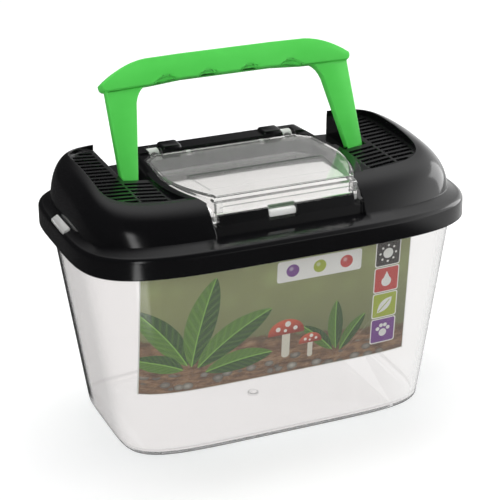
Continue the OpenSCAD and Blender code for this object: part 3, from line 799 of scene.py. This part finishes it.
def recess_cutter(grown):
    floor, step, y = LID.dome - 0.5 - grown, LID.dome + 4 - grown, FRAME.sill_y + grown
    side = [(-110, floor), (y - FRAME.lean, floor), (y - FRAME.lean + 1, step),
            (y - FRAME.lean + 1.8, step), (y, FRAME.sill), (y, SKY), (-110, SKY)]
    return extrude("recess_cutter", side, -FRAME.recess_x - grown, FRAME.recess_x + grown, "X")


def well_cutter(grown):
    return extrude("well_cutter", hatch_outline(FRAME.gap + grown, FRAME.rear_gap + grown,
                                                FRAME.nose_y + 2.4 - grown), FRAME.well, SKY)


def frame_rounder(side):
    """Rounds the frame's outer top edge beside a channel, from the pivot to the bar's end."""
    radius = 4.6
    arc = [(-radius + radius * math.cos(turn), -radius + radius * math.sin(turn))
           for turn in (math.pi / 2 * (1 - i / 12) for i in range(13))]
    corner = [(1.5, 1.5), (-radius, 1.5), *arc, (1.5, -radius)]
    cutter = extrude("frame_rounder", [(side * x, z) for x, z in corner], 0, 60, "Y")
    run = FRAME.side_x - FRAME.shoulder_x
    turned = Matrix.Rotation(side * math.atan2(run, FRAME.shoulder_y - FRAME.side_y), 4, "Z")
    foot = Vector((side * FRAME.side_x, FRAME.side_y, FRAME.bar)) * MM
    behind_pivot = Matrix.Translation((0, 5 * MM, 0))
    cutter.data.transform(Matrix.Translation(foot) @ turned @ behind_pivot)
    return cutter


def slot_cutters(look):
    """The air slots of both decks: an outer row, and an inner one in front of the channels."""
    pitch, width, count, ridge = mm(look.slot_pitch), mm(look.slot_width), 17, 0.6
    bars = []
    for i in range(count):
        y = LID.rim_rear - 6 - i * pitch
        reach = []
        for edge in (y, y - width):
            deep = LID.rim_mid - LID.rim_front if edge < LID.rim_mid else LID.rim_rear - LID.rim_mid
            part = max(0.0, 1 - abs((edge - LID.rim_mid) / deep) ** LID.rim_n)
            reach.append(LID.rim_x * part ** (1 / LID.rim_n))
        outer = min(reach) - 2
        for side in (-1, 1):
            spans = []
            if outer > LID.ridge_x + 4:
                spans.append((LID.ridge_x + ridge, outer))
            if y < FRAME.channel_y - 1.5 and y - width > LID.rim_front + 1:
                spans.append((FRAME.side_x + 1.5, LID.ridge_x - ridge))
            for a, b in spans:
                low, high = sorted((side * a, side * b))
                bars.append(box("slot", (low, y - width, FRAME.top - 6), (high, y, FRAME.top + 6)))
    return join("slot_cutters", bars)


# ---- pieces

TUB = SimpleNamespace(
    floor_l=159.0, floor_w=89.2, mouth_l=191.8, mouth_w=109.4, top=108.0, wall=2.0, floor=2.2,
    foot=3.0, floor_n=5.5, mouth_n=4.4, flange=1.4, mark_r=2.5)
LUG = ((95.6, 106.5), (97.3, 106.5), (99.0, 108.6), (99.0, 110.2), (98.3, 110.9), (96.2, 112.1),
       (95.6, 112.1))


def tub_ring(z, inset):
    f = max(0.0, z) / TUB.top
    half_l = blend(TUB.floor_l, TUB.mouth_l, f) / 2 - inset
    half_w = blend(TUB.floor_w, TUB.mouth_w, f) / 2 - inset
    return at(oval(half_l, half_w, half_w, 0, blend(TUB.floor_n, TUB.mouth_n, f)), z)


def tub_skin(name, foot, low, inset, tops):
    """The tub's wall with its rounded foot, and the rings that end it."""
    steps = 8
    rings = []
    for i in range(steps + 1):
        turn = math.pi / 2 * i / steps
        rings.append(tub_ring(low + foot * (1 - math.cos(turn)), inset + foot * (1 - math.sin(turn))))
    high = tops[0][0]
    rings += [tub_ring(blend(low + foot, high, i / 8), inset) for i in range(1, 8)]
    rings += [tub_ring(z, out) for z, out in tops]
    return skin(name, rings)


def build_tub(look):
    top, wall, out = TUB.top, TUB.wall, TUB.flange
    # the flange's profile: heights, and insets that are negative where it stands out
    flange = ((top - 2.4, 0.0), (top - 2.2, -0.1), (top - 2.0, -0.5), (top - 1.9, -out + 0.3),
              (top - 1.6, -out), (top - 0.4, -out), (top - 0.1, -out + 0.3), (top, -out + 0.5))
    mouth = ((top - 0.4, wall), (top, wall - 0.3), (top + 1, wall - 0.3))
    piece = tub_skin("tub_shell", TUB.foot, 0.0, 0.0, flange)
    carve(piece, tub_skin("hollow", 1.0, TUB.floor, wall, mouth))
    gate = rod("gate_mark", (0, 0, 0), TUB.mark_r, 0.4)
    lifted = Matrix.Translation((0, 0, (TUB.floor + 0.1) * MM))
    gate.data.transform(lifted @ Matrix.Rotation(math.pi / 2, 4, "Y"))
    unite(piece, gate)
    for side in (-1, 1):
        lug = extrude("rim_lug", [(x * side, z) for x, z in LUG], -9.4, 9.4, "Y")
        round_edges(lug, 0.35 * MM, 2)
        unite(piece, lug)
    smooth(piece, 30)
    plastic = clear_plastic("clear_tub", 0.02, 0.03, 0.3, tub_milk(look), tub_tint(look))
    dress(piece, plastic, "tub", "clear_plastic", "tub")


def build_card(look):
    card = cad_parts["label_card"]
    card.data.materials.clear()
    card.data.materials.append(printed_card(look))


def build_lid(look):
    piece = lid_skin("vented_lid", 0)
    hollow = lid_skin("hollow", LID.wall)
    for cutter in (deck_cutter, channel_cutter, frame_cutter, recess_cutter):
        carve(hollow, cutter(LID.wall))
    carve(hollow, well_cutter(FRAME.well_wall))
    carve(piece, hollow)
    for cutter in (deck_cutter, channel_cutter, frame_cutter, recess_cutter, well_cutter):
        carve(piece, cutter(0))
    nose, half, sill, gap = FRAME.nose_y, FRAME.nose_w / 2, FRAME.sill, FRAME.gap
    hinge_y, hinge_z, room = FRAME.hinge_y, FRAME.hinge_z, FRAME.knuckle_w / 2 + 0.5
    front, rear, foot, top = FRAME.bar_front + 0.2, FRAME.bar_rear - 0.2, hinge_z - 3.6, FRAME.top + 2.4
    for side in (-1, 1):
        inner = side * (FRAME.knuckle_x - room)
        block = extrude("hinge_block", [(front, foot), (rear, foot), (rear, top), (front, top)],
                        inner - side * FRAME.block_w, inner, "X")
        round_edges(block, 1.6 * MM, 4)
        unite(piece, block)
    carve(piece, box("mouth", (-half - gap, nose - 2, sill), (half + gap, nose + 10, SKY)))
    for side in (-1, 1):
        x, lug_x = side * FRAME.knuckle_x, side * FRAME.lug_x
        low, high = sorted((side * (half - 2.1), side * (FRAME.recess_x + 0.2)))
        for cutter in (
                box("tab_room", (low, nose - 6, FRAME.well + 1), (high, nose + 6, SKY)),
                box("lug_window", (lug_x - 2.1, -9.9, 90), (lug_x + 2.1, 9.9, 130)),
                rod("peg_hole", (side * (FRAME.side_x - 1.3), FRAME.pivot_y, FRAME.pivot_z), 2.45, 2.8),
                rod("knuckle_room", (x, hinge_y, hinge_z), 4.4, 2 * room),
                box("arm_room", (x - room, hinge_y - 14.8, hinge_z - 1.5), (x + room, hinge_y, SKY)),
                rod("pin_hole", (x - side * 7, hinge_y, hinge_z), HATCH.pin_r + 0.05, 13.0)):
            carve(piece, cutter)
    low, high = FRAME.catch_x - HATCH.catch_half - 0.5, FRAME.catch_x + HATCH.catch_half + 0.5
    carve(piece, box("catch_notch", (low, nose - 8, sill - 5), (high, nose + 8, SKY)))
    for side in (-1, 1):
        carve(piece, frame_rounder(side))
    carve(piece, slot_cutters(look))
    smooth(piece, 32)
    dress(piece, black_plastic(look), "lid", "black_plastic", "lid")


HATCH = SimpleNamespace(
    pane_rear=-5.3, pane_front=-29.0, pane_rear_x=35.4, pane_front_x=33.0, pane_z=127.15, pane_slope=0.101,
    pane_y=-17.2, pane_half=11.8, lip_t=1.8, lip_line=4.65, line_x=34.4, corner_x=34.3, tab_x=35.8,
    rib_x=19.8, catch_top=119.0, catch_half=6.85, neck_x=6.4, pin_r=2.0)


def hatch_body(shrunk):
    """The hatch's block inside its side view, shrunk by the wall for its hollow."""
    nose_y, nose_z, tail_y, tail_z = FRAME.nose_y, FRAME.nose_z, FRAME.tail_y, FRAME.tail_z
    rings = []
    for drawn, z in ((0, FRAME.well), (0, FRAME.top + 0.4), (3.0, nose_z + 1)):
        outline = hatch_outline(-shrunk - drawn, -shrunk - drawn, nose_y + shrunk)
        rings.append(at(list(reversed(outline)), z))
    body = skin("hatch_block", rings)
    over = 1.0 if shrunk else 0.0
    foot, lip = tail_z - 3.4 - over, nose_z - 8.3 - over
    side = [(tail_y - shrunk, foot), (tail_y - shrunk, tail_z - shrunk),
            (nose_y + 1.4 + shrunk, nose_z - shrunk), (nose_y + shrunk, nose_z - 1.4 - shrunk),
            (nose_y + shrunk, lip), (nose_y + HATCH.lip_t + shrunk, lip), (nose_y + 8, foot)]
    return carve(body, extrude("hatch_side", side, -60, 60, "X"), "INTERSECT")


def cut_hatch(piece):
    """The shallow step round the pane, and the line along the lip."""
    nose_y, nose_z, tail_y, tail_z = FRAME.nose_y, FRAME.nose_z, FRAME.tail_y, FRAME.tail_z
    rear_x, front_x, line_x = HATCH.pane_rear_x, HATCH.pane_front_x, HATCH.line_x
    pane = extrude("pane_step", [(-rear_x, HATCH.pane_rear), (rear_x, HATCH.pane_rear),
                                 (front_x, HATCH.pane_front), (-front_x, HATCH.pane_front)], -0.35, 3.0)
    laid = Matrix.Rotation(-math.atan2(nose_z - tail_z, tail_y - nose_y), 4, "X")
    pane.data.transform(Matrix.Translation((0, 0, HATCH.pane_z * MM)) @ laid)
    carve(piece, pane)
    low, high = nose_z - HATCH.lip_line - 0.25, nose_z - HATCH.lip_line + 0.25
    carve(piece, box("lip_line", (-line_x, nose_y - 1, low), (line_x, nose_y + 0.35, high)))


def add_catch(piece):
    """The sprung stem behind the lip, and the catch at its foot."""
    nose_y, sill, x, half = FRAME.nose_y, FRAME.sill, FRAME.catch_x, HATCH.catch_half
    back, top, foot = nose_y + HATCH.lip_t, FRAME.nose_z - 7.3, FRAME.well + 1.5
    stem = [(nose_y + 0.3, top), (back, top), (back + 2.6, foot), (back + 1, foot), (back, sill - 4.5),
            (nose_y + 0.3, sill - 4)]
    unite(piece, extrude("stem", stem, x - HATCH.neck_x, x + HATCH.neck_x, "X"))
    side = [(back - 0.2, sill - 4.4), (nose_y - 2, sill - 4.4), (nose_y - 1.6, HATCH.catch_top),
            (back - 0.2, HATCH.catch_top)]
    catch = extrude("catch", side, x - half, x + half, "X")
    round_edges(catch, 0.9 * MM, 3)
    unite(piece, catch)


def add_knuckle(piece, side):
    """An arm with its ringed knuckle and pin, on one side."""
    x, y, z, half = side * FRAME.knuckle_x, FRAME.hinge_y, FRAME.hinge_z, FRAME.knuckle_w / 2
    unite(piece, box("arm", (x - half, FRAME.tail_y - 1, z - 1), (x + half, y - 1, z + 1.6)))
    knuckle = rod("knuckle", (x, y, z), 3.9, FRAME.knuckle_w)
    round_edges(knuckle, 0.7 * MM, 4)
    for face in (-1, 1):
        carve(knuckle, rod("groove", (x + face * half, y, z), 2.9, 0.8))
    unite(knuckle, rod("hub", (x, y, z), 1.9, FRAME.knuckle_w - 0.2))
    unite(piece, knuckle)
    unite(piece, rod("pin", (x - side * 7, y, z), HATCH.pin_r, 9.0))


def build_hatch(look):
    piece = hatch_body(0)
    piece.name = "feeding_hatch"
    carve(piece, hatch_body(mm(look.hatch_wall)))
    cut_hatch(piece)
    add_catch(piece)
    nose_y, nose_z, tail_y, tail_z = FRAME.nose_y, FRAME.nose_z, FRAME.tail_y, FRAME.tail_z
    for side in (-1, 1):
        for name, x, half, low, high, rounding in (
                ("lip_corner", HATCH.corner_x, 2.3,
                 (nose_y - 0.8, nose_z - 7.4), (nose_y + 1.6, nose_z - 2.4), (0.6, 3)),
                ("lip_tab", HATCH.tab_x, 0.8,
                 (nose_y, FRAME.well + 2.5), (nose_y + 3.2, nose_z - 3), (0.3, 2)),
                ("rib", HATCH.rib_x, 1.3,
                 (tail_y - 2.6, tail_z - 3.3), (tail_y - 0.9, tail_z - 0.9), None)):
            part = box(name, (side * x - half, *low), (side * x + half, *high))
            if rounding:
                radius, segments = rounding
                round_edges(part, radius * MM, segments)
            unite(piece, part)
        add_knuckle(piece, side)
    smooth(piece, 30)
    plastic = clear_plastic("clear_hatch", 0.02, 0.02, 0.55, hatch_milk(look), hatch_tint(look))
    dress(piece, plastic, "hatch", "hatch_plastic", "hatch")


HANDLE = SimpleNamespace(lean=26.3, reach=50.0, pitch=21.8, scallop_r=9.5)


def build_handle(look):
    piece = cad_copy("handle", "carry_handle")
    pivot = Vector((0, FRAME.pivot_y, FRAME.pivot_z)) * MM
    stands = Matrix.Translation(pivot) @ Matrix.Rotation(math.radians(-HANDLE.lean), 4, "X")
    radius, deep = HANDLE.scallop_r, mm(look.scallop_deep)
    for i in range(4):
        scallop = rod("scallop", (0, 0, 0), radius, 4.0)
        x, z = (i - 1.5) * HANDLE.pitch, HANDLE.reach + deep - radius
        laid = Matrix.Translation(Vector((x, -3.7, z)) * MM) @ Matrix.Rotation(math.pi / 2, 4, "Z")
        scallop.data.transform(stands @ laid)
        carve(piece, scallop)
    round_edges(piece, look.handle_round, 3)
    smooth(piece, 40)
    dress(piece, green_plastic(look), "handle", "green_plastic", "handle")


# ---- stage

def soft_box(name, where, target, size, power, mirrored):
    data = bpy.data.lights.new(name, "AREA")
    data.shape = "RECTANGLE"
    data.size, data.size_y = size
    data.energy = power
    light = put(name, data)
    light.location = where
    light.visible_glossy = mirrored
    light.rotation_euler = (Vector(target) - Vector(where)).to_track_quat("-Z", "Y").to_euler()


CAMERA = SimpleNamespace(azimuth=-23.108, elevation=22.984, roll=-0.383, away=857.13,
                         target=(-1.76, -2.25, 81.97))


def lay_floor(look):
    """The pale floor; gloss mirrors a dark table and a tall narrow light in front, on the left."""
    deselect()
    bpy.ops.mesh.primitive_plane_add(size=6, location=(0, 0, 0))
    floor = bpy.context.object
    floor.name = "floor"
    s = new_material("floor")
    _, x, y, _ = s.place()
    path = s.node("ShaderNodeLightPath", output="Is Camera Ray")
    pale = s.node("ShaderNodeBsdfDiffuse", {}, {"Color": (0.86, 0.86, 0.86)})
    lit = s.node("ShaderNodeAddShader", {}, {0: pale, 1: s.glow(look.floor_glow)})
    strip = s.near(x - y * 0.38, -58, 12, 28) * s.below(y, -170, -120)
    table = s.either(strip, s.glow(look.floor_mirrored), s.glow(look.strip_mirrored))
    table = s.either(s.step(x, 230, 330), table, s.glow(look.table_mirrored))
    bounced = s.either(path.out("Is Glossy Ray"), pale, table)
    bounced = s.either(path.out("Is Transmission Ray"), bounced, s.glow(1.0))
    floor.data.materials.append(s.surface(s.either(path, bounced, lit)))


def light_world(look):
    """White where it is seen, with a bright sky, right side and strip where gloss mirrors it."""
    w = Shader(bpy.data.worlds.new("studio"))
    path = w.node("ShaderNodeLightPath", output="Is Camera Ray")
    way = w.node("ShaderNodeSeparateXYZ", inputs={0: w.node("ShaderNodeTexCoord", output="Generated")})
    up, right, back = way.out("Z"), way.out("X"), way.out("Y")
    above = w.step(up, 0.3, 0.9) * w.step(back, -0.3, 0.4) * w.step(right, -0.25, 0.3)
    mirrored = w.either(above, w.glow(look.room_mirrored), w.glow(look.sky_mirrored))
    mirrored = w.either(w.step(right, 0.3, 0.9), mirrored, w.glow(look.right_mirrored))
    strip = w.below(abs(right * 0.946 - back * 0.326), 0.04, 0.1) * w.below(back, -0.3, -0.2)
    strip = strip * w.below(up, 0.6, 0.75)
    mirrored = w.either(strip, mirrored, w.glow(look.strip_mirrored))
    mirrored = w.either(path.out("Is Glossy Ray"), w.glow(look.fill), mirrored)
    seen = path.math("MAXIMUM", path.out("Is Transmission Ray"))
    bpy.context.scene.world = w.surface(w.either(seen, mirrored, w.glow(1.0)))


def place_camera(look):
    """The photograph's view, solved from its outlines."""
    data = bpy.data.cameras.new("camera")
    data.lens = look.camera_lens
    data.clip_start = 0.01
    camera = put("camera", data)
    azimuth, elevation = math.radians(CAMERA.azimuth), math.radians(CAMERA.elevation)
    away = Vector((math.sin(azimuth) * math.cos(elevation), -math.cos(azimuth) * math.cos(elevation),
                   math.sin(elevation)))
    camera.location = Vector(CAMERA.target) * MM + away * CAMERA.away * MM
    look_at = (-away).to_track_quat("-Z", "Y").to_matrix().to_4x4()
    rolled = look_at @ Matrix.Rotation(math.radians(CAMERA.roll), 4, "Z")
    camera.rotation_euler = rolled.to_euler()
    bpy.context.scene.camera = camera


def build_stage(look):
    lay_floor(look)
    light_world(look)
    soft_box("overhead", (0.0, 0.25, 1.1), (0, 0, 0.1), (1.1, 0.9), look.overhead, False)
    soft_box("left_box", (-1.0, -0.7, 0.75), (0, 0, 0.08), (0.35, 0.9), look.left, False)
    soft_box("right_box", (1.2, 0.1, 0.5), (0, 0, 0.1), (0.7, 0.9), look.right, True)
    place_camera(look)
    bpy.context.scene.view_settings.view_transform = "Standard"


# ---- add-on

def paint(name, text, default):
    return bpy.props.FloatVectorProperty(name=name, description=text, default=default, subtype="COLOR",
                                         size=3, min=0.0, max=1.0)


def amount(name, text, default, **extra):
    return bpy.props.FloatProperty(name=name, description=text, default=default, min=0.0, **extra)


def size(name, text, default):
    return amount(name, text, default, unit="LENGTH", precision=5)


class KeeperLook(bpy.types.PropertyGroup):
    """Sizes, colours, finishes and lights of the pet keeper."""

    slot_pitch: size("Slot pitch", "Step from one air slot to the next", 0.0045)
    slot_width: size("Slot width", "Width of an air slot", 0.0025)
    hatch_wall: size("Hatch wall", "Wall of the clear hatch", 0.0018)
    handle_round: size("Handle rounding", "Radius of the handle's edges", 0.0007)
    scallop_deep: size("Finger recess", "Depth of each finger recess in the grip", 0.0017)
    lid: paint("Lid", "Colour of the lid's plastic", (0.0035, 0.0035, 0.004))
    deck: paint("Decks", "Colour of the lid's satin vented decks", (0.009, 0.009, 0.0095))
    lid_roughness: amount("Lid roughness", "Roughness of the lid's gloss", 0.1)
    edge_round: size("Edge rounding", "Radius that the lid's cut edges shine with", 0.0005)
    handle: paint("Handle", "Main colour of the handle", (0.07, 0.68, 0.07))
    handle_light: paint("Handle, lighter", "Colour of the handle's lighter streaks", (0.13, 0.84, 0.13))
    clear_tub: paint("Tub", "Tint of the tub's clear plastic", (0.925, 0.91, 0.905))
    # painted light on the tub's right end
    tub_painted_light: paint("Tub, right end", "Tint of its right end", (0.985, 0.98, 0.975))
    # painted shade line along the tub's foot, and the grey of its moulding mark
    tub_shade_and_mark: paint("Tub lines", "Tint of the tub's foot and moulding mark", (0.35, 0.34, 0.33))
    # painted shade on the hatch's steps and edges, tinted green as a painted reflection of the handle
    hatch_painted_shade: paint("Hatch lines", "Tint of the hatch's dark steps and edges", (0.05, 0.09, 0.05))
    clear_hatch: paint("Hatch", "Tint of the hatch's clear plastic", (0.975, 0.965, 0.95))
    leaf_dark: paint("Leaf, dark", "Shaded half of the printed leaves", (0.03, 0.09, 0.015))
    leaf_light: paint("Leaf, light", "Lit half of the printed leaves", (0.16, 0.34, 0.04))
    tile_dark: paint("Dark tile", "First tile on the card", (0.022, 0.016, 0.012))
    tile_red: paint("Red tile", "Second tile on the card", (0.62, 0.06, 0.05))
    tile_lime: paint("Lime tile", "Third tile on the card", (0.42, 0.5, 0.035))
    tile_violet: paint("Violet tile", "Fourth tile on the card", (0.2, 0.05, 0.3))
    rim_milk: amount("Milk at the rim", "White share of the tub's rim and lugs", 0.4)
    hatch_milk: amount("Milk in the hatch", "White share of the hatch's plastic", 0.035)
    catch_milk: amount("Milk in the catch", "White share of the hatch's catch", 0.75)
    # painted glint round the rims of the hatch's knuckles
    knuckle_painted_glint: amount("Milk in the knuckles", "White share of the rims of the hatch's knuckles", 0.7)
    # painted glints on the hatch's ribs and lip corners
    rib_corner_glint: amount("Milk in the ribs", "White share of the hatch's ribs and lip corners", 0.22)
    fill: amount("Fill", "Even light from all round", 0.5)
    sky_mirrored: amount("Sky in gloss", "Brightness above, as gloss mirrors it", 0.9)
    room_mirrored: amount("Room in gloss", "Brightness of the rest, as gloss mirrors it", 0.03)
    right_mirrored: amount("Right side in gloss", "Brightness on the right, as gloss mirrors it", 2.2)
    floor_glow: amount("Floor glow", "Lift of the pale floor towards white", 0.3)
    floor_mirrored: amount("Floor in gloss", "Brightness of the floor, as gloss mirrors it", 0.06)
    table_mirrored: amount("Table's right in gloss", "Brightness of its right part in gloss", 1.1)
    strip_mirrored: amount("Strip in gloss", "Brightness of the tall light that the lid mirrors", 3.5)
    overhead: amount("Overhead box", "Power of the overhead soft box, in watts", 6.0)
    left: amount("Left box", "Power of the left soft box, in watts", 3.0)
    right: amount("Right box", "Power of the right soft box, in watts", 6.5)
    camera_lens: amount("Lens", "Focal length of the camera, in millimetres", 124.884)


class KeeperStep:
    """What every building step shares: it runs its function with the scene's look."""

    bl_options = {"REGISTER", "UNDO"}

    def execute(self, context):
        type(self).build(context.scene.keeper_look)
        return {"FINISHED"}


class KEEPER_OT_stage(KeeperStep, bpy.types.Operator):
    """Lays the floor, the world, the soft boxes and the camera"""

    bl_idname = "keeper.stage"
    bl_label = "Stage"
    build = staticmethod(build_stage)


class KEEPER_OT_tub(KeeperStep, bpy.types.Operator):
    """Moulds the clear tub with its rim, lugs and foot"""

    bl_idname = "keeper.tub"
    bl_label = "Tub"
    build = staticmethod(build_tub)


class KEEPER_OT_card(KeeperStep, bpy.types.Operator):
    """Prints the card that stands in the tub"""

    bl_idname = "keeper.card"
    bl_label = "Card"
    build = staticmethod(build_card)


class KEEPER_OT_lid(KeeperStep, bpy.types.Operator):
    """Moulds the vented lid with its frame, wells, slots and hinge blocks"""

    bl_idname = "keeper.lid"
    bl_label = "Lid"
    build = staticmethod(build_lid)


class KEEPER_OT_hatch(KeeperStep, bpy.types.Operator):
    """Moulds the clear hatch with its lip, catch and knuckles"""

    bl_idname = "keeper.hatch"
    bl_label = "Hatch"
    build = staticmethod(build_hatch)


class KEEPER_OT_handle(KeeperStep, bpy.types.Operator):
    """Moulds the carrying handle with its finger grip"""

    bl_idname = "keeper.handle"
    bl_label = "Handle"
    build = staticmethod(build_handle)


STEPS = (KEEPER_OT_stage, KEEPER_OT_tub, KEEPER_OT_card, KEEPER_OT_lid, KEEPER_OT_hatch, KEEPER_OT_handle)


class KEEPER_PT_steps(bpy.types.Panel):
    """Lists the building steps and the look's settings"""

    bl_label = "Pet keeper"
    bl_idname = "KEEPER_PT_steps"
    bl_space_type = "VIEW_3D"
    bl_region_type = "UI"
    bl_category = "Pet keeper"

    def draw(self, context):
        column = self.layout.column(align=True)
        for step in STEPS:
            column.operator(step.bl_idname)
        settings = self.layout.column()
        for name in KeeperLook.__annotations__:
            settings.prop(context.scene.keeper_look, name)


def register():
    for kind in (KeeperLook, *STEPS, KEEPER_PT_steps):
        bpy.utils.register_class(kind)
    bpy.types.Scene.keeper_look = bpy.props.PointerProperty(type=KeeperLook)


def unregister():
    del bpy.types.Scene.keeper_look
    for kind in reversed((KeeperLook, *STEPS, KEEPER_PT_steps)):
        bpy.utils.unregister_class(kind)


def main():
    register()
    bpy.ops.keeper.stage()
    bpy.ops.keeper.tub()
    bpy.ops.keeper.card()
    bpy.ops.keeper.lid()
    bpy.ops.keeper.hatch()
    bpy.ops.keeper.handle()


if __name__ == "__main__":
    main()
